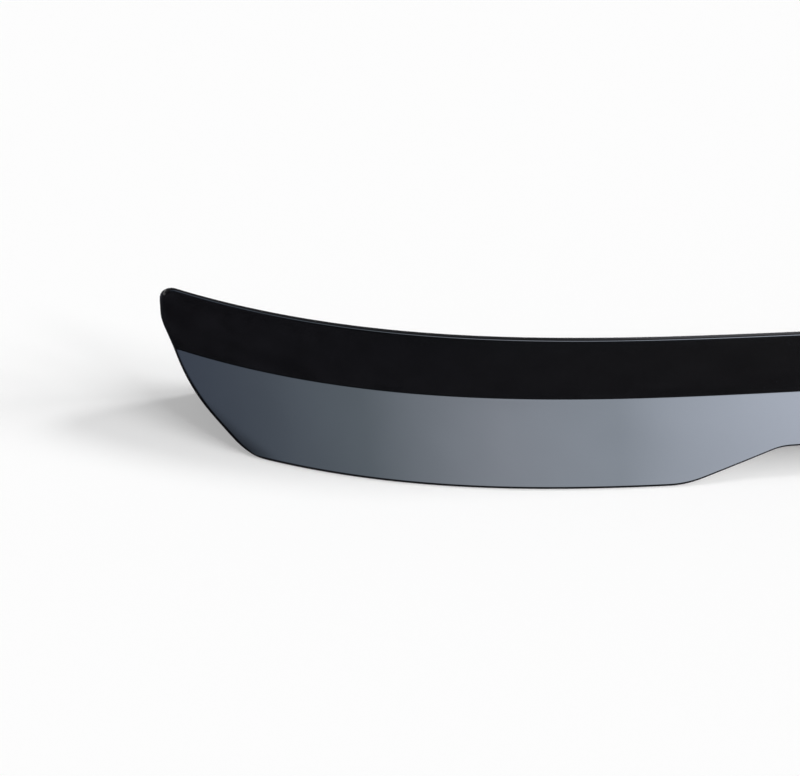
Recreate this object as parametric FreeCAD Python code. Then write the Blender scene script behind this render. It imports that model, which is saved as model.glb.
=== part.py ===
"""Ducktail trunk spoiler: one moulded shell, in millimetres, +Z up, standing on its bonding flange.

X runs across the car, -Y is the rear of the car and +Y its front.
The rear of the shell is an apron with a steeper lip above it, parted by a crease line. A ramp falls
from the lip's top edge to the front, and the underside is open inside a flat bonding flange.
"""
import FreeCAD
import Part
import math
import os

from FreeCAD import Vector

# Plan of the whole spoiler
HALF_SPAN = 600.0          # centre line to the furthest point of a tip
TIP_SWEEP = 128.0          # how far the tips lie forward of the middle
SWEEP_POWER = 3.9          # flat middle, quick turn towards the tips

# Rear face, as a section
APRON_RISE = 62.5          # floor to the crease
APRON_LEAN = 39.0          # forward lean of the apron over that rise
APRON_CROWN = 1.6          # how far the apron's middle corner stands out before it is rounded
LIP_RISE = 48.6            # crease to the top edge
LIP_LEAN = 12.0            # forward lean of the lip over that rise
EDGE_LAND = 5.0            # flat along the top of the lip
CREASE_RADIUS = 5.0
LIP_REAR_RADIUS = 1.5
LIP_FRONT_RADIUS = 3.0

# Ramp in front of the lip
RAMP_DEPTH = 108.0         # top edge to leading edge at the centre line
RAMP_DEPTH_AT_TIP = 46.0
RAMP_TAPER_POWER = 2.4     # how the ramp shortens towards the tips
RAMP_KNEE_RISE = 34.0      # height of the bend between the steep and the shallow part
RAMP_KNEE_SHARE = 0.46     # where that bend lies, as a share of the ramp's depth
RAMP_RADIUS = 110.0
TOE_HEIGHT = 3.0           # blunt leading edge

# Ends, as outlines seen from the rear
TIP_CORNER_RADIUS = 17.0   # top corner of a tip
TIP_HEEL_RISE = 82.5       # height where the tip's edge turns inwards
TIP_HEEL_RADIUS = 26.0
FLANK_BEND_INSET = 20.5    # bend of the slanting flank, in from the tip
FLANK_BEND_RISE = 36.5
FLANK_BEND_RADIUS = 90.0
FLANK_FOOT_INSET = 65.5    # foot of the flank on the floor, in from the tip
FLANK_FOOT_RADIUS = 48.0

# Notch in the apron's lower edge
NOTCH_HALF_WIDTH = 100.0   # flat part
NOTCH_RISE = 23.5
NOTCH_SIDE_RUN = 85.0      # sideways run of each sloping side
NOTCH_SHOULDER_RADIUS = 65.0
NOTCH_FOOT_RADIUS = 110.0

# Moulding
WALL = 3.0
FLANGE_WIDTH = 14.0        # bonding flange along the leading edge, takes 12 mm foam tape
REAR_FLANGE_WIDTH = 28.0   # bonding flange along the apron, takes two rows of tape
NOTCH_RETURN = 3.0         # how far the flange inside the notch reaches past the rear flange
LIP_SOLID = 6.0            # solid along the top of the lip, over and above the wall
RIB_THICKNESS = 2.0
RIB_PITCH = 120.0
RIB_RISE = 68.0            # lower edge of the ribs under the lip

# Building aids
STATION_PITCH = 80.0       # distance between lofted sections
OVERRUN = 40.0             # loft carried past the tips before they are trimmed
BELOW = 6.0                # loft carried below the floor before it is trimmed
REACH = 60.0               # how far cutters stand clear of the part

TOP = APRON_RISE + LIP_RISE
APRON_SLANT = math.hypot(APRON_LEAN, APRON_RISE)
FLOOR_DEPTH = APRON_LEAN + LIP_LEAN + EDGE_LAND + RAMP_DEPTH


def sweep(x):
    """Forward offset of the section at x."""
    return TIP_SWEEP * (abs(x) / HALF_SPAN) ** SWEEP_POWER


def ramp_depth(x):
    """Depth of the ramp at x."""
    share = (abs(x) / HALF_SPAN) ** RAMP_TAPER_POWER
    return RAMP_DEPTH + (RAMP_DEPTH_AT_TIP - RAMP_DEPTH) * share


def toe(x):
    """Place of the leading edge at x."""
    return sweep(x) + APRON_LEAN + LIP_LEAN + EDGE_LAND + ramp_depth(x)


def rounded_wire(corners, place):
    """Closed wire through corners (a, b, radius), with tangent arcs; place turns (a, b) into a point."""
    count = len(corners)
    arcs = []
    for i, (a, b, radius) in enumerate(corners):
        here = Vector(a, b, 0)
        before = (Vector(*corners[i - 1][:2], 0) - here).normalize()
        after = (Vector(*corners[(i + 1) % count][:2], 0) - here).normalize()
        half = before.getAngle(after) / 2
        setback = radius / math.tan(half)
        middle = here
        if radius > 0:
            middle = here + (before + after).normalize() * (radius / math.sin(half) - radius)
        arcs.append((here + before * setback, middle, here + after * setback))
    edges = []
    for i, (entry, middle, leave) in enumerate(arcs):
        if corners[i][2] > 0:
            points = [place(p.x, p.y) for p in (entry, middle, leave)]
            edges.append(Part.Arc(*points).toShape())
        following = arcs[(i + 1) % count][0]
        edges.append(Part.LineSegment(place(leave.x, leave.y), place(following.x, following.y)).toShape())
    return Part.Wire(edges)


def inset(corners, distance):
    """The same corners, which run clockwise, moved inwards by distance on every side."""
    count = len(corners)
    moved = []
    for i, (a, b, radius) in enumerate(corners):
        here = Vector(a, b, 0)
        arriving = (here - Vector(*corners[i - 1][:2], 0)).normalize()
        leaving = (Vector(*corners[(i + 1) % count][:2], 0) - here).normalize()
        first = Vector(arriving.y, -arriving.x, 0)
        second = Vector(leaving.y, -leaving.x, 0)
        convex = arriving.cross(leaving).z < 0
        corner = here + (first + second) * (distance / (1 + first.dot(second)))
        moved.append((corner.x, corner.y, max(0, radius - distance if convex else radius + distance)))
    return moved


def skin_corners(x, drop=0.0):
    """Skin at x as (y, z, radius), clockwise from the apron's foot to the ramp's, both below the floor.

    The top is cut off level, drop below the top edge.
    """
    rear = sweep(x)
    lip_foot = rear + APRON_LEAN
    lip_top = lip_foot + LIP_LEAN
    ramp_top = lip_top + EDGE_LAND
    belly_y = rear + APRON_LEAN / 2 - APRON_CROWN * APRON_RISE / APRON_SLANT
    belly_z = APRON_RISE / 2 + APRON_CROWN * APRON_LEAN / APRON_SLANT
    knee = ramp_top + RAMP_KNEE_SHARE * ramp_depth(x)
    apron_run = (belly_y - rear) / belly_z
    ramp_run = (toe(x) - knee) / (RAMP_KNEE_RISE - TOE_HEIGHT)
    crown_radius = 0.4 * APRON_SLANT ** 2 / (2 * APRON_CROWN)
    return [
        (rear - apron_run * BELOW, -BELOW, 0),
        (belly_y, belly_z, crown_radius),
        (lip_foot, APRON_RISE, CREASE_RADIUS),
        (lip_top - drop * LIP_LEAN / LIP_RISE, TOP - drop, LIP_REAR_RADIUS),
        (ramp_top + drop * (knee - ramp_top) / (TOP - RAMP_KNEE_RISE), TOP - drop, LIP_FRONT_RADIUS),
        (knee, RAMP_KNEE_RISE, RAMP_RADIUS),
        (toe(x) + ramp_run * (TOE_HEIGHT + BELOW), -BELOW, 0),
    ]


def outer_corners(x):
    """Outer section at x: the skin with the ramp cut short at its blunt toe."""
    return skin_corners(x)[:-1] + [(toe(x), TOE_HEIGHT, 0), (toe(x), -BELOW, 0)]


def opening_corners(x):
    """Mouth of the underside at x, between the rear and the front flange."""
    rear = sweep(x) + REAR_FLANGE_WIDTH
    front = toe(x) - FLANGE_WIDTH
    roof = 1.2 * WALL
    return [(rear, -BELOW, 0), (rear, roof, 0), (front, roof, 0), (front, -BELOW, 0)]


def loft(section, half_length):
    """Solid through the sections at evenly spaced stations."""
    count = 2 * math.ceil(half_length / STATION_PITCH)
    stations = [half_length * (2 * i / count - 1) for i in range(count + 1)]
    wires = [rounded_wire(section(x), lambda y, z, x=x: Vector(x, y, z)) for x in stations]
    return Part.makeLoft(wires, True, False)


def end_corners():
    """Outline of the whole spoiler seen from the rear, as (x, z, radius), clockwise from the left foot."""
    above = TOP + WALL / 3
    left = [
        (FLANK_FOOT_INSET - HALF_SPAN, 0, FLANK_FOOT_RADIUS),
        (FLANK_BEND_INSET - HALF_SPAN, FLANK_BEND_RISE, FLANK_BEND_RADIUS),
        (-HALF_SPAN, TIP_HEEL_RISE, TIP_HEEL_RADIUS),
        (-HALF_SPAN, above, TIP_CORNER_RADIUS),
    ]
    return left + [(-x, z, radius) for x, z, radius in reversed(left)]


def notch_corners():
    """Outline of the notch, as (x, z, radius), clockwise from below the left side."""
    foot = NOTCH_HALF_WIDTH + NOTCH_SIDE_RUN
    left = [
        (-foot - REACH, -REACH, 0),
        (-foot - REACH, 0, 0),
        (-foot, 0, NOTCH_FOOT_RADIUS),
        (-NOTCH_HALF_WIDTH, NOTCH_RISE, NOTCH_SHOULDER_RADIUS),
    ]
    return left + [(-x, z, radius) for x, z, radius in reversed(left)]


def prism(corners, rear, front):
    """Outline seen from the rear, as a solid from y = rear to y = front."""
    wire = rounded_wire(corners, lambda x, z: Vector(x, rear, z))
    return Part.Face(wire).extrude(Vector(0, front - rear, 0))


def rib_plates():
    """Plates across the inside of the lip, evenly spaced from the centre line."""
    count = math.floor((HALF_SPAN - FLANK_FOOT_INSET) / RIB_PITCH)
    depth = TIP_SWEEP + FLOOR_DEPTH
    plates = []
    for i in range(-count, count + 1):
        corner = Vector(i * RIB_PITCH - RIB_THICKNESS / 2, 0, RIB_RISE)
        plates.append(Part.makeBox(RIB_THICKNESS, depth, TOP, corner))
    return plates


def make_shell():
    """The whole moulding, with the middle of the leading-edge flange at the origin."""
    front = TIP_SWEEP + FLOOR_DEPTH + REACH
    notch_back = REAR_FLANGE_WIDTH + NOTCH_RETURN
    outer = loft(outer_corners, HALF_SPAN + OVERRUN)
    outer = outer.common(prism(end_corners(), -REACH, front))
    outer = outer.cut(prism(notch_corners(), -REACH, notch_back))

    cavity = loft(lambda x: inset(skin_corners(x, LIP_SOLID), WALL), HALF_SPAN + OVERRUN)
    cavity = cavity.common(prism(inset(end_corners(), WALL), -REACH, front))
    cavity = cavity.cut(prism(inset(notch_corners(), -WALL), -REACH, notch_back))
    cavity = cavity.cut(rib_plates())

    opening = loft(opening_corners, HALF_SPAN - FLANK_FOOT_INSET - 2 * FLANGE_WIDTH)
    shell = outer.cut(cavity).cut(opening).Solids[0]
    shell.translate(Vector(0, FLANGE_WIDTH / 2 - FLOOR_DEPTH, 0))
    return shell


os.makedirs("parts", exist_ok=True)
make_shell().exportStep("parts/spoiler_shell.step")
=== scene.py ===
# %% [markdown]
# # A ducktail trunk spoiler in gloss black
# The real part is one hollow plastic moulding, bonded to the edge of a trunk lid. Its rear face is an
# apron with a steeper lip above it. Behind the lip a ramp falls towards the car. Gloss black has hardly
# any colour of its own: what is seen is the room mirrored in it. So the skin has to be very smooth, and
# the lights are shaped as a studio shapes them for black lacquer.

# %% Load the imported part
import math

import bmesh
import bpy
import numpy as np
from mathutils import Matrix, Vector


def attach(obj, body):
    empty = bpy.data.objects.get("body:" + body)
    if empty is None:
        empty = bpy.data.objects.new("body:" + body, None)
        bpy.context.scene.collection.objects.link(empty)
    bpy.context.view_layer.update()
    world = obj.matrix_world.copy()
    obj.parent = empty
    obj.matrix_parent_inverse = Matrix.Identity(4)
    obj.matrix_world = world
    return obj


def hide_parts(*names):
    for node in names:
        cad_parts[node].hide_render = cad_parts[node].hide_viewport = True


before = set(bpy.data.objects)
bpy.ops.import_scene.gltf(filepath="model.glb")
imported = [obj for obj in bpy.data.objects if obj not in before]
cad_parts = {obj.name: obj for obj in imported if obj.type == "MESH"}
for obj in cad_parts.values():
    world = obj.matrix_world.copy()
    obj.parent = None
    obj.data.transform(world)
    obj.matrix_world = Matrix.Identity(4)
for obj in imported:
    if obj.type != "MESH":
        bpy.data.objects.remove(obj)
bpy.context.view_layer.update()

# %% [markdown]
# ## Sizes
# The sizes are those of the part, in millimetres. Y is measured from the lower edge of the apron at the
# centre line, and moved to the part's own origin, the middle of the front flange, at the very end.

# %% Sizes of the moulding
MM = 0.001
HALF_SPAN = 600.0
TIP_SWEEP = 128.0
SWEEP_POWER = 3.9
APRON_RISE, APRON_LEAN, APRON_CROWN = 62.5, 39.0, 1.6
LIP_RISE, LIP_LEAN, EDGE_LAND = 48.6, 12.0, 5.0
CREASE_RADIUS, LIP_REAR_RADIUS, LIP_FRONT_RADIUS = 5.0, 1.5, 3.0
RAMP_DEPTH, RAMP_DEPTH_AT_TIP, RAMP_TAPER_POWER = 108.0, 46.0, 2.4
RAMP_KNEE_RISE, RAMP_KNEE_SHARE, RAMP_RADIUS, TOE_HEIGHT = 34.0, 0.46, 110.0, 3.0
TIP_CORNER_RADIUS, TIP_HEEL_RISE, TIP_HEEL_RADIUS = 17.0, 82.5, 26.0
FLANK_BEND_INSET, FLANK_BEND_RISE, FLANK_BEND_RADIUS = 20.5, 36.5, 90.0
FLANK_FOOT_INSET, FLANK_FOOT_RADIUS = 65.5, 48.0
NOTCH_HALF_WIDTH, NOTCH_RISE, NOTCH_SIDE_RUN = 100.0, 23.5, 85.0
NOTCH_SHOULDER_RADIUS, NOTCH_FOOT_RADIUS, NOTCH_RETURN = 65.0, 110.0, 3.0
WALL, LIP_SOLID, FLANGE_WIDTH, REAR_FLANGE_WIDTH = 3.0, 6.0, 14.0, 28.0
EDGE_RADIUS = 2.4          # free edges of the outer skin
TOP = APRON_RISE + LIP_RISE
INNER_TOP = TOP - LIP_SOLID - WALL
LAND_MIDDLE = APRON_LEAN + LIP_LEAN + EDGE_LAND / 2
RAMP_START = APRON_LEAN + LIP_LEAN + EDGE_LAND
ORIGIN_Y = RAMP_START + RAMP_DEPTH - FLANGE_WIDTH / 2
print("section:", TOP, "mm high and", RAMP_START + RAMP_DEPTH, "mm deep at the centre line")

# %% [markdown]
# ## Lines with rounded corners
# Every outline of the moulding is a few straight lines with an arc at each corner. One helper turns such
# a list of corners into points, and a second one moves the corners inwards by the wall thickness.


# %% Corner helpers
def unit(vector):
    return vector / np.linalg.norm(vector)


def rounded(corners, steps=24):
    """Points along corners (a, b, radius), with an arc at each inner corner."""
    places = [np.array(corner[:2], float) for corner in corners]
    points = [places[0]]
    for before, here, after, corner in zip(places, places[1:], places[2:], corners[1:]):
        radius = corner[2]
        if radius == 0:
            points.append(here)
            continue
        back, on = unit(before - here), unit(after - here)
        half = math.acos(np.clip(back @ on, -1, 1)) / 2
        centre = here + unit(back + on) * radius / math.sin(half)
        start = here + back * radius / math.tan(half) - centre
        end = here + on * radius / math.tan(half) - centre
        for share in np.linspace(0, 1, steps + 1):
            points.append(centre + unit(start * (1 - share) + end * share) * radius)
    points.append(places[-1])
    return np.array(points)


def inset(corners, distance):
    """Corners of an open line moved to its right by distance, with radii that keep the wall even."""
    places = [np.array(corner[:2], float) for corner in corners]
    moved = []
    for i, here in enumerate(places):
        arriving = unit(here - places[i - 1]) if i > 0 else unit(places[1] - here)
        leaving = unit(places[i + 1] - here) if i < len(places) - 1 else arriving
        first = np.array([arriving[1], -arriving[0]])
        second = np.array([leaving[1], -leaving[0]])
        turn = arriving[0] * leaving[1] - arriving[1] * leaving[0]
        corner = here + (first + second) * distance / (1 + first @ second)
        radius = corners[i][2] - distance if turn < 0 else corners[i][2] + distance
        moved.append((corner[0], corner[1], max(0.0, radius) if corners[i][2] else 0.0))
    return moved


# %% [markdown]
# ## The four outlines
# Two outlines are seen from the rear: the rounded tip with its slanting flank, and the shallow notch in
# the lower edge. Two are seen in section: the rear face, and the ramp, which shortens towards the tips.
# Each is kept as a function of height or of place across the car, so that any point of the skin can be
# asked for. The inner wall uses the same outlines, moved inwards by the wall thickness.

# %% Outlines seen from the rear
TIP_OUTLINE = [
    (HALF_SPAN / 2, TOP + WALL / 3, 0),
    (HALF_SPAN, TOP + WALL / 3, TIP_CORNER_RADIUS),
    (HALF_SPAN, TIP_HEEL_RISE, TIP_HEEL_RADIUS),
    (HALF_SPAN - FLANK_BEND_INSET, FLANK_BEND_RISE, FLANK_BEND_RADIUS),
    (HALF_SPAN - FLANK_FOOT_INSET, 0, FLANK_FOOT_RADIUS),
    (HALF_SPAN / 2, 0, 0),
]
NOTCH_OUTLINE = [
    (0, NOTCH_RISE, 0),
    (NOTCH_HALF_WIDTH, NOTCH_RISE, NOTCH_SHOULDER_RADIUS),
    (NOTCH_HALF_WIDTH + NOTCH_SIDE_RUN, 0, NOTCH_FOOT_RADIUS),
    (HALF_SPAN, 0, 0),
]


def half_width(z, depth=0.0):
    """Half the width of the spoiler at height z; depth is how far inside the skin."""
    line = rounded(inset(TIP_OUTLINE, depth))[1:-1][::-1]
    return np.interp(z, line[:, 1], line[:, 0])


def lower_edge(x, depth=0.0):
    """Height of the lower edge at x."""
    line = rounded(inset(NOTCH_OUTLINE, -depth))
    return np.interp(np.abs(x), line[:, 0], line[:, 1])


print("half width at the floor:", round(float(half_width(0)), 1), "mm; notch height:", lower_edge(0))

# %% Outlines in section
APRON_SLANT = math.hypot(APRON_LEAN, APRON_RISE)
BELLY = (
    APRON_LEAN / 2 - APRON_CROWN * APRON_RISE / APRON_SLANT,
    APRON_RISE / 2 + APRON_CROWN * APRON_LEAN / APRON_SLANT,
    0.4 * APRON_SLANT**2 / (2 * APRON_CROWN),
)
REAR_OUTLINE = [
    (0, 0, 0),
    BELLY,
    (APRON_LEAN, APRON_RISE, CREASE_RADIUS),
    (APRON_LEAN + LIP_LEAN, TOP, LIP_REAR_RADIUS),
    (LAND_MIDDLE, TOP, 0),
]


def rear_face(z, depth=0.0):
    """Y of the rear face at height z."""
    line = rounded(inset(REAR_OUTLINE, depth))[:-1]
    return np.interp(z, line[:, 1], line[:, 0])


def ramp_depth(x):
    """Depth of the ramp at x."""
    share = (np.abs(x) / HALF_SPAN) ** RAMP_TAPER_POWER
    return RAMP_DEPTH + (RAMP_DEPTH_AT_TIP - RAMP_DEPTH) * share


def ramp_outline(depth_here):
    toe = RAMP_START + depth_here
    knee = RAMP_START + RAMP_KNEE_SHARE * depth_here
    run = (toe - knee) / (RAMP_KNEE_RISE - TOE_HEIGHT)
    return [
        (LAND_MIDDLE, TOP, 0),
        (RAMP_START, TOP, LIP_FRONT_RADIUS),
        (knee, RAMP_KNEE_RISE, RAMP_RADIUS),
        (toe + 2 * TOE_HEIGHT * run, -TOE_HEIGHT, 0),
    ]


def ramp_face(x, z, depth=0.0):
    """Y of the ramp at x, for one height z; outside, the ramp ends in a blunt upright toe."""
    trials = np.linspace(RAMP_DEPTH_AT_TIP, RAMP_DEPTH, 20)
    found = []
    for trial in trials:
        line = rounded(inset(ramp_outline(trial), depth))[1:][::-1]
        found.append(np.interp(z, line[:, 1], line[:, 0]))
    y = np.interp(ramp_depth(x), trials, found)
    return y if depth else np.minimum(y, RAMP_START + ramp_depth(x))


print("rear face at the crease: y", round(float(rear_face(APRON_RISE)), 1), "mm")

# %% [markdown]
# ## The skin as a grid
# A gloss surface shows every uneven triangle, so the mesh is a regular grid of quads that lies exactly on
# the outlines. Columns run across the car and are stretched to the width at each height, so the last
# column follows the tip. Rows climb the rear face, cross the top and go down the ramp. A few narrow rows
# and columns along the free edges make the small edge radius.

# %% Rows and columns
STATIONS = 240
EDGE_TURN = np.radians([90, 70, 50, 30, 14])
edge_shrink = EDGE_RADIUS * (1 - np.sin(EDGE_TURN))
edge_push = EDGE_RADIUS * (1 - np.cos(EDGE_TURN))
support = 1 - EDGE_RADIUS / HALF_SPAN
stations = np.concatenate([[-1, -support], np.linspace(-1, 1, STATIONS + 1)[1:-1], [support, 1]])
edge_columns = len(EDGE_TURN)
columns = np.concatenate([[-1] * edge_columns, stations, [1] * edge_columns])
shrink = np.concatenate([edge_shrink, np.full(len(stations), EDGE_RADIUS), edge_shrink[::-1]])
push = np.concatenate([edge_push, np.zeros(len(stations)), edge_push[::-1]])

CREASE_REACH = 1.6 * CREASE_RADIUS
LIP_TURN = 0.8 * LIP_REAR_RADIUS
above_crease = np.array([0.4, 0.8, 1.4, 2.4, 4, 6])
below_top = np.array([11, 8.5, 6.5, 5, 3.6, 2.6])
levels = np.concatenate([
    [EDGE_RADIUS, TOE_HEIGHT, 4.4, 6.2],
    np.linspace(8.5, APRON_RISE - CREASE_REACH, 13),
    APRON_RISE - above_crease[::-1],
    [APRON_RISE],
    APRON_RISE + above_crease,
    np.linspace(APRON_RISE + CREASE_REACH, TOP - 14, 8),
    TOP - below_top,
    TOP - LIP_TURN * (1 - np.sin(np.linspace(0, math.pi / 2, 8))),
])
inner_levels = np.concatenate([
    [WALL, WALL + 1, WALL + 3],
    np.linspace(10, APRON_RISE - CREASE_REACH, 12),
    APRON_RISE + np.array([-5, -2.5, -1, 0, 1, 2.5, 5]),
    np.linspace(APRON_RISE + CREASE_REACH, INNER_TOP, 9),
])
print(len(columns), "columns;", len(levels), "levels outside and", len(inner_levels), "inside")


# %% Points of the rows
NOTCH_FADE = 54.0          # above this height the rows no longer follow the notch


def follow_notch(x, level, depth, foot):
    """Height of a row at x: rows near the lower edge rise with the notch, higher ones run level."""
    rise = lower_edge(x, depth) - lower_edge(HALF_SPAN, depth)
    return level + rise * max(0.0, (NOTCH_FADE - level) / (NOTCH_FADE - foot))


def rear_row(level):
    x = columns * (half_width(level) - shrink)
    z = follow_notch(x, level, 0.0, EDGE_RADIUS)
    return np.stack([x, rear_face(z) + push, z], axis=1)


def rear_edge_row(lift, extra):
    x = columns * (half_width(lift) - shrink)
    z = lower_edge(x) + lift
    return np.stack([x, rear_face(lower_edge(x) + EDGE_RADIUS) + push + extra, z], axis=1)


def ramp_row(level):
    x = columns * (half_width(level) - shrink)
    return np.stack([x, ramp_face(x, level) - push, np.full_like(x, level)], axis=1)


def inner_rear_row(level):
    x = stations * half_width(level, WALL)
    z = follow_notch(x, level, WALL, WALL)
    return np.stack([x, rear_face(z, WALL), z], axis=1)


def inner_ramp_row(level):
    x = stations * half_width(level, WALL)
    return np.stack([x, ramp_face(x, level, WALL), np.full_like(x, level)], axis=1)


# %% All rows, outside and inside
def flange_rows(across, depth):
    """Inner edges of the rear and the front flange, on their lower or their upper side."""
    lift = lower_edge(across, depth)
    notch_return = NOTCH_RETURN * np.clip((lift - depth) / WALL, 0, 1)
    rear = np.stack([across, REAR_FLANGE_WIDTH + notch_return, lift], axis=1)
    toe = RAMP_START + ramp_depth(across)
    front = np.stack([across, toe - FLANGE_WIDTH, np.full_like(across, depth)], axis=1)
    return rear, front


floor_half = half_width(0)
rear_lip, front_lip = flange_rows(columns * (floor_half - shrink), 0.0)
rear_rows = [rear_edge_row(lift, extra) for lift, extra in zip(edge_shrink, edge_push)]
rear_rows += [rear_row(level) for level in levels]
ramp_levels = np.concatenate([edge_shrink, levels])
ramp_rows = [ramp_row(level) for level in ramp_levels[::-1]]
outside = np.array([rear_lip, *rear_rows, *ramp_rows, front_lip])

inner_rear_lip, inner_front_lip = flange_rows(stations * (floor_half - EDGE_RADIUS), WALL)
inner_rear_rows = [inner_rear_row(level) for level in inner_levels]
inner_ramp_rows = [inner_ramp_row(level) for level in inner_levels[::-1]]
inside = np.array([inner_rear_lip, *inner_rear_rows, *inner_ramp_rows, inner_front_lip])
print("outside", outside.shape[:2], "inside", inside.shape[:2])

# %% [markdown]
# ## Joining the grids
# The outside and the inside are each a sheet that starts at the rear flange and ends at the front one.
# They are joined along the mouth of the underside. Beyond the mouth the floor is closed, and each end is
# closed by strips between points of equal height, because the flanks run straight from rear to front.


# %% Helpers for faces
def sheet_faces(shape, first):
    """Quads of a grid whose points start at index first."""
    rows, count = shape[:2]
    index = first + np.arange(rows * count).reshape(rows, count)
    quads = np.stack([index[:-1, :-1], index[:-1, 1:], index[1:, 1:], index[1:, :-1]], axis=-1)
    return index, quads.reshape(-1, 4).tolist()


def end_faces(index, column):
    """Strips that close a sheet at one end; the lowest one takes in the two flange edges."""
    line = index[:, column].tolist()
    half = len(line) // 2
    faces = [[line[0], line[1], line[2], line[-3], line[-2], line[-1]]]
    for low in range(2, half - 1):
        faces.append([line[low], line[low + 1], line[-2 - low], line[-1 - low]])
    return faces


# %% All faces
MOUTH_HALF = HALF_SPAN - FLANK_FOOT_INSET - 2 * FLANGE_WIDTH
out_index, faces = sheet_faces(outside.shape, 0)
in_index, inner_faces = sheet_faces(inside.shape, out_index.size)
faces += inner_faces
for index in (out_index, in_index):
    faces += end_faces(index, 0) + end_faces(index, -1)

is_open = np.abs(stations) * floor_half <= MOUTH_HALF
open_outside = np.concatenate([[False] * edge_columns, is_open, [False] * edge_columns])
for index, opened in ((out_index, open_outside), (in_index, is_open)):
    for c in range(index.shape[1] - 1):
        if not (opened[c] and opened[c + 1]):
            faces.append([index[0, c], index[0, c + 1], index[-1, c + 1], index[-1, c]])

mouth = np.flatnonzero(is_open)
for row in (0, -1):
    for c in mouth[:-1]:
        d = c + edge_columns
        faces.append([out_index[row, d], out_index[row, d + 1], in_index[row, c + 1], in_index[row, c]])
for c in (mouth[0], mouth[-1]):
    d = c + edge_columns
    faces.append([out_index[0, d], out_index[-1, d], in_index[-1, c], in_index[0, c]])
print(len(faces), "faces")

# %% [markdown]
# ## Bending the section to the plan curve
# Seen from above, the tips of the spoiler sweep forward, gently in the middle and quickly at the ends.
# So far the skin is straight. A small Geometry Nodes tree moves every point forward by a power of its
# distance from the centre line. The ribs below use the same tree, so that both follow one rule.


# %% Helpers for node trees
def add_math(tree, operation, first, second=None):
    node = tree.nodes.new("ShaderNodeMath")
    node.operation = operation
    for socket, value in zip(node.inputs, (first, second)):
        if isinstance(value, bpy.types.NodeSocket):
            tree.links.new(value, socket)
        elif value is not None:
            socket.default_value = value
    return node.outputs[0]


def new_tree(name, numbers):
    """An empty tree with a geometry, named numbers and a finish going in, and a geometry coming out."""
    tree = bpy.data.node_groups.new(name, "GeometryNodeTree")
    tree.interface.new_socket("Geometry", in_out="INPUT", socket_type="NodeSocketGeometry")
    for label, value in numbers.items():
        kind = "NodeSocketInt" if isinstance(value, int) else "NodeSocketFloat"
        tree.interface.new_socket(label, in_out="INPUT", socket_type=kind).default_value = value
    tree.interface.new_socket("Finish", in_out="INPUT", socket_type="NodeSocketMaterial")
    tree.interface.new_socket("Geometry", in_out="OUTPUT", socket_type="NodeSocketGeometry")
    return tree, tree.nodes.new("NodeGroupInput").outputs, tree.nodes.new("NodeGroupOutput").inputs


def distance_share(tree, half_span):
    """Distance from the centre line as a share of the half span."""
    place = tree.nodes.new("GeometryNodeInputPosition")
    axes = tree.nodes.new("ShaderNodeSeparateXYZ")
    tree.links.new(place.outputs[0], axes.inputs[0])
    return add_math(tree, "DIVIDE", add_math(tree, "ABSOLUTE", axes.outputs["X"]), half_span)


def finish_tree(tree, geometry, finish, result):
    whole = tree.nodes.new("GeometryNodeRealizeInstances")
    coat = tree.nodes.new("GeometryNodeSetMaterial")
    tree.links.new(geometry, whole.inputs["Geometry"])
    tree.links.new(whole.outputs["Geometry"], coat.inputs["Geometry"])
    tree.links.new(finish, coat.inputs["Material"])
    tree.links.new(coat.outputs["Geometry"], result["Geometry"])


# %% A tree that bends a straight moulding
PLAN = {"Half span": HALF_SPAN * MM, "Tip sweep": TIP_SWEEP * MM, "Sweep power": SWEEP_POWER}
bend, bend_in, bend_out = new_tree("bend to the plan curve", PLAN)
share = distance_share(bend, bend_in["Half span"])
curve = add_math(bend, "POWER", share, bend_in["Sweep power"])
forward = add_math(bend, "MULTIPLY", curve, bend_in["Tip sweep"])
shift = bend.nodes.new("ShaderNodeCombineXYZ")
bend.links.new(forward, shift.inputs["Y"])
move = bend.nodes.new("GeometryNodeSetPosition")
bend.links.new(bend_in["Geometry"], move.inputs["Geometry"])
bend.links.new(shift.outputs[0], move.inputs["Offset"])
finish_tree(bend, move.outputs["Geometry"], bend_in["Finish"], bend_out)
print("tree:", bend.name, "with", len(bend.nodes), "nodes")

# %% [markdown]
# ## Gloss black plastic
# The finish is a deep black with a lacquered gloss. Three small things keep it from looking computed:
# the gloss is a little uneven, the surface has the faint ripple of a moulded and polished skin, and a
# few fine specks of dust sit on it. All of them read the object's own coordinates.


# %% The finish
PLASTIC_BLACK, DUST_GREY = (0.0030, 0.0030, 0.0036, 1), (0.030, 0.033, 0.042, 1)
DUST_SCALE, DUST_SPECK, DUST_PATCH = 210.0, (0.05, 0.10), (0.50, 0.66)
GLOSS_EVEN, GLOSS_DULL = 0.045, 0.085
RIPPLE_SCALE, RIPPLE_HEIGHT = 55.0, 0.0004


def span(tree, value, from_low, from_high, to_low, to_high):
    """A value carried from one range to another."""
    node = tree.nodes.new("ShaderNodeMapRange")
    for socket, number in zip(list(node.inputs)[1:5], (from_low, from_high, to_low, to_high)):
        socket.default_value = number
    tree.links.new(value, node.inputs["Value"])
    return node.outputs["Result"]


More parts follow.
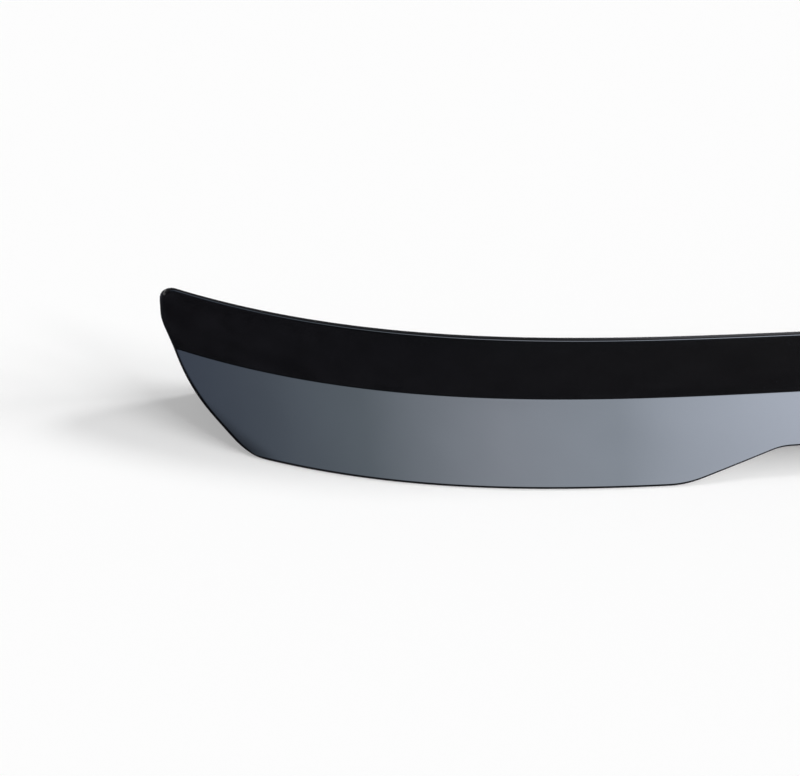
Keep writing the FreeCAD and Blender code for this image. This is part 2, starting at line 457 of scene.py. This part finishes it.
def gloss_black():
    finish = bpy.data.materials.new("gloss black plastic")
    finish.use_nodes = True
    tree = finish.node_tree
    nodes, links = tree.nodes, tree.links
    skin = nodes["Principled BSDF"]
    skin.inputs["IOR"].default_value = 1.5
    place = nodes.new("ShaderNodeTexCoord").outputs["Object"]

    def noise(scale, detail):
        node = nodes.new("ShaderNodeTexNoise")
        node.inputs["Scale"].default_value = scale
        node.inputs["Detail"].default_value = detail
        links.new(place, node.inputs["Vector"])
        return node.outputs["Fac"]

    dust = nodes.new("ShaderNodeTexVoronoi")
    dust.inputs["Scale"].default_value = DUST_SCALE
    links.new(place, dust.inputs["Vector"])
    speck = span(tree, dust.outputs["Distance"], *DUST_SPECK, 1.0, 0.0)
    patch = span(tree, noise(14.0, 3.0), *DUST_PATCH, 0.0, 0.5)
    colour = nodes.new("ShaderNodeMix")
    colour.data_type = "RGBA"
    colour.inputs["A"].default_value = PLASTIC_BLACK
    colour.inputs["B"].default_value = DUST_GREY
    links.new(add_math(tree, "MULTIPLY", speck, patch), colour.inputs["Factor"])
    links.new(colour.outputs["Result"], skin.inputs["Base Color"])

    links.new(span(tree, noise(6.0, 4.0), 0.3, 0.7, GLOSS_EVEN, GLOSS_DULL), skin.inputs["Roughness"])
    ripple = nodes.new("ShaderNodeBump")
    ripple.inputs["Strength"].default_value = 0.05
    ripple.inputs["Distance"].default_value = RIPPLE_HEIGHT
    links.new(noise(RIPPLE_SCALE, 2.0), ripple.inputs["Height"])
    links.new(ripple.outputs["Normal"], skin.inputs["Normal"])
    return finish


black = gloss_black()
print("finish:", black.name, "with", len(black.node_tree.nodes), "nodes")

# %% [markdown]
# ## The moulding
# The grid becomes a mesh, goes through the bending tree and comes out as a plain mesh again.


# %% Skin through the tree
def plain_mesh(name, points, polygons, tree, settings):
    """A mesh made from points in millimetres and passed through a tree."""
    raw = bpy.data.meshes.new(name)
    raw.from_pydata(((points - (0, ORIGIN_Y, 0)) * MM).tolist(), [], polygons)
    carrier = bpy.data.objects.new(name, raw)
    bpy.context.scene.collection.objects.link(carrier)
    modifier = carrier.modifiers.new(tree.name, "NODES")
    modifier.node_group = tree
    for item in tree.interface.items_tree:
        if item.in_out == "INPUT" and item.name in settings:
            modifier[item.identifier] = settings[item.name]
    bpy.context.view_layer.update()
    made = bpy.data.meshes.new_from_object(carrier.evaluated_get(bpy.context.evaluated_depsgraph_get()))
    bpy.data.objects.remove(carrier)
    return made


skin_points = np.concatenate([outside.reshape(-1, 3), inside.reshape(-1, 3)])
skin = plain_mesh("skin", skin_points, faces, bend, {**PLAN, "Finish": black})
print("skin:", len(skin.vertices), "points and", len(skin.polygons), "faces")

# %% [markdown]
# ## Ribs under the lip
# Inside, thin plates stand across the hollow lip at an even pitch and keep it from flexing. They are one
# plate repeated along a line, which is what instances are for. The hollow narrows towards the tips, so
# each copy is scaled in depth by the same power law as the ramp, and then bent with the skin.

# %% One rib
RIB_THICKNESS, RIB_PITCH, RIB_RISE, RIB_COUNT = 2.0, 120.0, 68.0, 9
RIB_ORIGIN = 45.0          # depth in the section that stays in place when a rib is scaled
rib_levels = np.linspace(RIB_RISE, INNER_TOP + WALL / 2, 7)
rib_line = [(float(rear_face(z, WALL / 2)), z) for z in rib_levels]
rib_line += [(float(ramp_face(0.0, z, WALL / 2)), z) for z in rib_levels[::-1]]
rib_sides = [[(side, y, z) for y, z in rib_line] for side in (-RIB_THICKNESS / 2, RIB_THICKNESS / 2)]
rib_points = np.array(rib_sides[0] + rib_sides[1]) - (0, RIB_ORIGIN - ORIGIN_Y, 0)
corner_count = len(rib_line)
rib_faces = [list(range(corner_count)), list(range(corner_count, 2 * corner_count))[::-1]]
for i in range(corner_count):
    j = (i + 1) % corner_count
    rib_faces.append([j, i, i + corner_count, j + corner_count])
print("rib:", corner_count, "corners, from", RIB_RISE, "mm up")

# %% A row of ribs
front_reach = RAMP_KNEE_SHARE * (TOP - RIB_RISE) / (TOP - RAMP_KNEE_RISE)
rib_front = float(ramp_face(0.0, RIB_RISE, WALL / 2))
RIBS = {
    **PLAN,
    "Count": RIB_COUNT,
    "Pitch": RIB_PITCH * MM,
    "Depth origin": (RIB_ORIGIN - ORIGIN_Y) * MM,
    "Narrowing": front_reach * (RAMP_DEPTH - RAMP_DEPTH_AT_TIP) / (rib_front - RIB_ORIGIN),
    "Taper power": RAMP_TAPER_POWER,
}
ribs, ribs_in, ribs_out = new_tree("row of ribs", RIBS)
reach = add_math(ribs, "MULTIPLY", add_math(ribs, "SUBTRACT", ribs_in["Count"], 1.0), ribs_in["Pitch"])
start = ribs.nodes.new("ShaderNodeCombineXYZ")
ribs.links.new(add_math(ribs, "MULTIPLY", reach, -0.5), start.inputs["X"])
ribs.links.new(ribs_in["Depth origin"], start.inputs["Y"])
step = ribs.nodes.new("ShaderNodeCombineXYZ")
ribs.links.new(ribs_in["Pitch"], step.inputs["X"])
line = ribs.nodes.new("GeometryNodeMeshLine")
ribs.links.new(ribs_in["Count"], line.inputs["Count"])
ribs.links.new(start.outputs[0], line.inputs["Start Location"])
ribs.links.new(step.outputs[0], line.inputs["Offset"])
taper = add_math(ribs, "POWER", distance_share(ribs, ribs_in["Half span"]), ribs_in["Taper power"])
narrow = add_math(ribs, "SUBTRACT", 1.0, add_math(ribs, "MULTIPLY", taper, ribs_in["Narrowing"]))
size = ribs.nodes.new("ShaderNodeCombineXYZ")
size.inputs["X"].default_value = 1.0
size.inputs["Z"].default_value = 1.0
ribs.links.new(narrow, size.inputs["Y"])
copies = ribs.nodes.new("GeometryNodeInstanceOnPoints")
ribs.links.new(line.outputs["Mesh"], copies.inputs["Points"])
ribs.links.new(ribs_in["Geometry"], copies.inputs["Instance"])
ribs.links.new(size.outputs[0], copies.inputs["Scale"])
loose = ribs.nodes.new("GeometryNodeRealizeInstances")
ribs.links.new(copies.outputs["Instances"], loose.inputs["Geometry"])
bent = ribs.nodes.new("GeometryNodeGroup")
bent.node_tree = bend
ribs.links.new(loose.outputs["Geometry"], bent.inputs["Geometry"])
for label in PLAN:
    ribs.links.new(ribs_in[label], bent.inputs[label])
ribs.links.new(ribs_in["Finish"], bent.inputs["Finish"])
finish_tree(ribs, bent.outputs["Geometry"], ribs_in["Finish"], ribs_out)
rib_row = plain_mesh("rib row", rib_points, rib_faces, ribs, {**RIBS, "Finish": black})
print("ribs:", len(rib_row.polygons), "faces in all")

# %% [markdown]
# ## One piece
# Skin and ribs were moulded together, so they become one mesh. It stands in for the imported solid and
# keeps its form. Edges that turn by more than the small edge radius does in one step stay sharp.

# %% Join and hand over
SHARP_TURN = math.radians(40)
whole = bmesh.new()
whole.from_mesh(skin)
whole.from_mesh(rib_row)
for face in whole.faces:
    face.material_index = 0
bmesh.ops.recalc_face_normals(whole, faces=whole.faces)
shell = bpy.data.meshes.new("spoiler")
whole.to_mesh(shell)
whole.free()
shell.materials.append(black)
shell.shade_smooth()
shell.set_sharp_from_angle(angle=SHARP_TURN)
spoiler = bpy.data.objects.new("spoiler", shell)
bpy.context.scene.collection.objects.link(spoiler)
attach(spoiler, "root")
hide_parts("spoiler_shell")
print("spoiler:", sum(len(p.vertices) - 2 for p in shell.polygons), "triangles")

# %% [markdown]
# ## Camera
# The place of the camera was measured from the photo: the outline of the tip, the lower edge, the crease
# and the top edge fix it. The photo is tilted by a few degrees, so the camera is rolled as well.

# %% Camera
PHOTO_WIDTH, FOCAL_PIXELS = 800, 1300
SENSOR = 36.0
EYE = Vector((-617.5, -955.5, 607.8)) * MM
YAW, PITCH, ROLL = (math.radians(angle) for angle in (13.101, 31.244, 3.961))
ahead = Vector((math.sin(YAW) * math.cos(PITCH), math.cos(YAW) * math.cos(PITCH), -math.sin(PITCH)))
level_right = Vector((math.cos(YAW), -math.sin(YAW), 0))
level_up = level_right.cross(ahead)
right = level_right * math.cos(ROLL) + level_up * math.sin(ROLL)
up = level_up * math.cos(ROLL) - level_right * math.sin(ROLL)
lens = bpy.data.cameras.new("camera")
lens.sensor_width = SENSOR
lens.sensor_fit = "HORIZONTAL"
lens.lens = SENSOR * FOCAL_PIXELS / PHOTO_WIDTH
camera = bpy.data.objects.new("camera", lens)
camera.matrix_world = Matrix.Translation(EYE) @ Matrix((right, up, -ahead)).transposed().to_4x4()
bpy.context.scene.collection.objects.link(camera)
bpy.context.scene.camera = camera
print("lens:", lens.lens, "mm")

# %% [markdown]
# ## Floor
# The floor is plain white. Part of its white is its own glow, seen only by the camera and in reflections,
# which lifts the shadow to the pale grey of a bright studio and leaves the light on the object alone.


# %% Helpers for the stage
def plain_material(name, kind):
    made = bpy.data.materials.new(name)
    made.use_nodes = True
    nodes = made.node_tree.nodes
    nodes.remove(nodes["Principled BSDF"])
    shader = nodes.new(kind)
    made.node_tree.links.new(shader.outputs[0], nodes["Material Output"].inputs["Surface"])
    return made, shader


def stage_mesh(name, points, polygons, material):
    made = bpy.data.meshes.new(name)
    made.from_pydata(points, [], polygons)
    made.materials.append(material)
    thing = bpy.data.objects.new(name, made)
    bpy.context.scene.collection.objects.link(thing)
    return thing


def seen_share(tree, share):
    """The share for rays from the camera, in reflections and through glass, and 0 for all others."""
    rays = tree.nodes.new("ShaderNodeLightPath").outputs
    seen = add_math(tree, "ADD", rays["Is Camera Ray"], rays["Is Glossy Ray"])
    seen = add_math(tree, "ADD", seen, rays["Is Transmission Ray"])
    return add_math(tree, "MULTIPLY", seen, share)


# %% White floor
FLOOR_REACH, FLOOR_GLOW = 6.0, 0.36
FLOOR_WHITE = (0.95, 0.95, 0.95, 1)
white, blend = plain_material("white floor", "ShaderNodeMixShader")
paint = white.node_tree.nodes.new("ShaderNodeBsdfDiffuse")
paint.inputs["Color"].default_value = FLOOR_WHITE
glow = white.node_tree.nodes.new("ShaderNodeEmission")
white.node_tree.links.new(seen_share(white.node_tree, FLOOR_GLOW), blend.inputs[0])
white.node_tree.links.new(paint.outputs[0], blend.inputs[1])
white.node_tree.links.new(glow.outputs[0], blend.inputs[2])
square = [(x * FLOOR_REACH, y * FLOOR_REACH, 0) for x, y in ((-1, -1), (1, -1), (1, 1), (-1, 1))]
stage_mesh("floor", square, [(0, 1, 2, 3)], white)
print("floor:", 2 * FLOOR_REACH, "m square")

# %% [markdown]
# ## What the gloss mirrors
# The apron leans back and mirrors what is above the camera, while the lip mirrors what is level with it.
# So a soft panel with a slow gradient hangs above, dark along its foot, and a dark mat lies on the floor,
# which also draws the dark line along the rounded lower edge. A dimmer panel rises behind, passes overhead
# and gives the top edge its grey. All of them are seen in reflections only.


# %% Sheets that only reflections see
def reflections_only(thing):
    """Hide a sheet from everything but reflections."""
    thing.visible_camera = False
    thing.visible_diffuse = False
    thing.visible_shadow = False
    thing.visible_transmission = False


def curved_panel(name, radius, azimuths, heights, material, steps=48):
    """Upright or domed strip round the origin; azimuth 0 is straight behind the car, heights are angles."""
    turns = np.radians(np.linspace(*azimuths, steps))
    tilts = np.radians(np.linspace(*heights, steps // 2))
    points = []
    for tilt in tilts:
        for turn in turns:
            flat = radius * math.cos(tilt)
            points.append((flat * math.sin(turn), -flat * math.cos(turn), radius * math.sin(tilt)))
    index = np.arange(len(points)).reshape(len(tilts), len(turns))
    quads = np.stack([index[:-1, :-1], index[:-1, 1:], index[1:, 1:], index[1:, :-1]], axis=-1)
    reflections_only(stage_mesh(name, points, quads.reshape(-1, 4).tolist(), material))


# %% A graded glow
def graded_glow(name, strength, from_x, to_x, stops, foot=(0.0, 0.01, 1.0), cloud=(1.0, 2.0)):
    """A glowing sheet that changes from left to right and fades at its foot.

    stops are (place from 0 to 1, colour); foot is (height where it is dark, where it is full, dark share);
    cloud is (share left in the darkest cloud, size of the clouds as a noise scale).
    """
    made, lamp = plain_material(name, "ShaderNodeEmission")
    tree = made.node_tree
    place = tree.nodes.new("ShaderNodeTexCoord").outputs["Object"]
    axes = tree.nodes.new("ShaderNodeSeparateXYZ")
    tree.links.new(place, axes.inputs[0])
    ramp = tree.nodes.new("ShaderNodeValToRGB")
    while len(ramp.color_ramp.elements) < len(stops):
        ramp.color_ramp.elements.new(0.5)
    for element, (where, colour) in zip(ramp.color_ramp.elements, stops):
        element.position = where
        element.color = (*colour, 1)
    tree.links.new(span(tree, axes.outputs["X"], from_x, to_x, 0, 1), ramp.inputs["Fac"])
    tree.links.new(ramp.outputs["Color"], lamp.inputs["Color"])
    clouds = tree.nodes.new("ShaderNodeTexNoise")
    clouds.inputs["Scale"].default_value = cloud[1]
    tree.links.new(place, clouds.inputs["Vector"])
    haze = span(tree, clouds.outputs["Fac"], 0.35, 0.65, cloud[0], 1)
    fade = span(tree, axes.outputs["Z"], foot[0], foot[1], foot[2], 1)
    level = add_math(tree, "MULTIPLY", add_math(tree, "MULTIPLY", haze, fade), strength)
    tree.links.new(level, lamp.inputs["Strength"])
    return made


# %% Soft panel and back panel
PANEL_STOPS = [
    (0.03, (0.08, 0.10, 0.14)),
    (0.2475, (0.19, 0.226, 0.264)),
    (0.45, (0.43, 0.47, 0.54)),
    (0.585, (0.455, 0.51, 0.59)),
    (0.72, (0.77, 0.84, 0.98)),
    (0.88, (0.77, 0.84, 0.98)),
    (1.0, (0.06, 0.07, 0.08)),
]
BACK_STOPS = [
    (0.0, (0.16, 0.16, 0.18)),
    (0.52, (0.20, 0.20, 0.22)),
    (0.66, (0.55, 0.55, 0.60)),
    (1.0, (0.65, 0.65, 0.70)),
]
PANEL_RADIUS = 3.0
PANEL_GLOW, PANEL_FOOT, PANEL_CLOUD = 12.4, (0.56, 0.72, 0.02), (0.92, 1.1)
BACK_GLOW = 1.0
above = graded_glow("soft panel", PANEL_GLOW, -3.0, 3.0, PANEL_STOPS, PANEL_FOOT, PANEL_CLOUD)
behind = graded_glow("back panel", BACK_GLOW, -0.5, 1.7, BACK_STOPS)
curved_panel("soft panel", PANEL_RADIUS, (-95, 95), (-0.5, 37), above)
curved_panel("back panel", PANEL_RADIUS, (95, 265), (5, 142), behind)
print("panels: soft", PANEL_GLOW, "and back", BACK_GLOW)

# %% Dark mat
MAT_RADIUS, MAT_LIFT, MAT_CORNERS = 3.4, 0.0005, 96
MAT_GLOW, MAT_CLOUD = 0.18, (0.4, 7.0)
MAT_STOPS = [(0.0, (0.8, 0.8, 1.0)), (1.0, (1.0, 0.97, 1.0))]
dim = graded_glow("dark mat", MAT_GLOW, -1.0, 1.0, MAT_STOPS, cloud=MAT_CLOUD)
turns = np.linspace(0, 2 * math.pi, MAT_CORNERS, endpoint=False)
rim = [(MAT_RADIUS * math.cos(turn), MAT_RADIUS * math.sin(turn), MAT_LIFT) for turn in turns]
reflections_only(stage_mesh("dark mat", rim, [tuple(range(MAT_CORNERS))], dim))
print("dark mat:", MAT_RADIUS, "m in radius")

# %% [markdown]
# ## Light
# Even light comes from the whole room. A row of soft lamps to the right of the camera acts as one long
# softbox, so the shadow beside the tip is pale and fades slowly on its far side. One more lamp, higher and
# a little behind, draws the near side of that shadow. None of them is seen in the gloss.

# %% Room and lamps
ROOM_LIGHT, ROW_LIGHT, HIGH_LIGHT = 0.18, 0.57, 0.27
BACKDROP_WHITE = 0.98      # the same white as the lit floor, so that no horizon shows
LAMP_SPREAD = 14.0         # degrees
ROW_TURNS, ROW_TILT = (4, 20, 36, 52), 29.0
HIGH_TURN, HIGH_TILT = -20.0, 46.0


def soft_lamp(name, turn, tilt, light):
    """A distant lamp that adds light to a level floor; turn runs from the right towards the camera."""
    lamp = bpy.data.lights.new(name, "SUN")
    lamp.energy = math.pi * light / math.sin(math.radians(tilt))
    lamp.angle = math.radians(LAMP_SPREAD)
    thing = bpy.data.objects.new(name, lamp)
    thing.rotation_euler = (math.radians(90 - tilt), 0, math.radians(90 - turn))
    thing.visible_glossy = False
    bpy.context.scene.collection.objects.link(thing)


room = bpy.data.worlds.new("room")
room.use_nodes = True
bpy.context.scene.world = room
sky = room.node_tree.nodes["Background"]
sky.inputs["Color"].default_value = (1, 1, 1, 1)
lit = seen_share(room.node_tree, BACKDROP_WHITE - ROOM_LIGHT)
room.node_tree.links.new(add_math(room.node_tree, "ADD", lit, ROOM_LIGHT), sky.inputs["Strength"])

for turn in ROW_TURNS:
    soft_lamp("row lamp", turn, ROW_TILT, ROW_LIGHT / len(ROW_TURNS))
soft_lamp("high lamp", HIGH_TURN, HIGH_TILT, HIGH_LIGHT)
bpy.context.scene.view_settings.view_transform = "Standard"
print("light: room", ROOM_LIGHT, "with", len(ROW_TURNS), "lamps in a row and one higher")
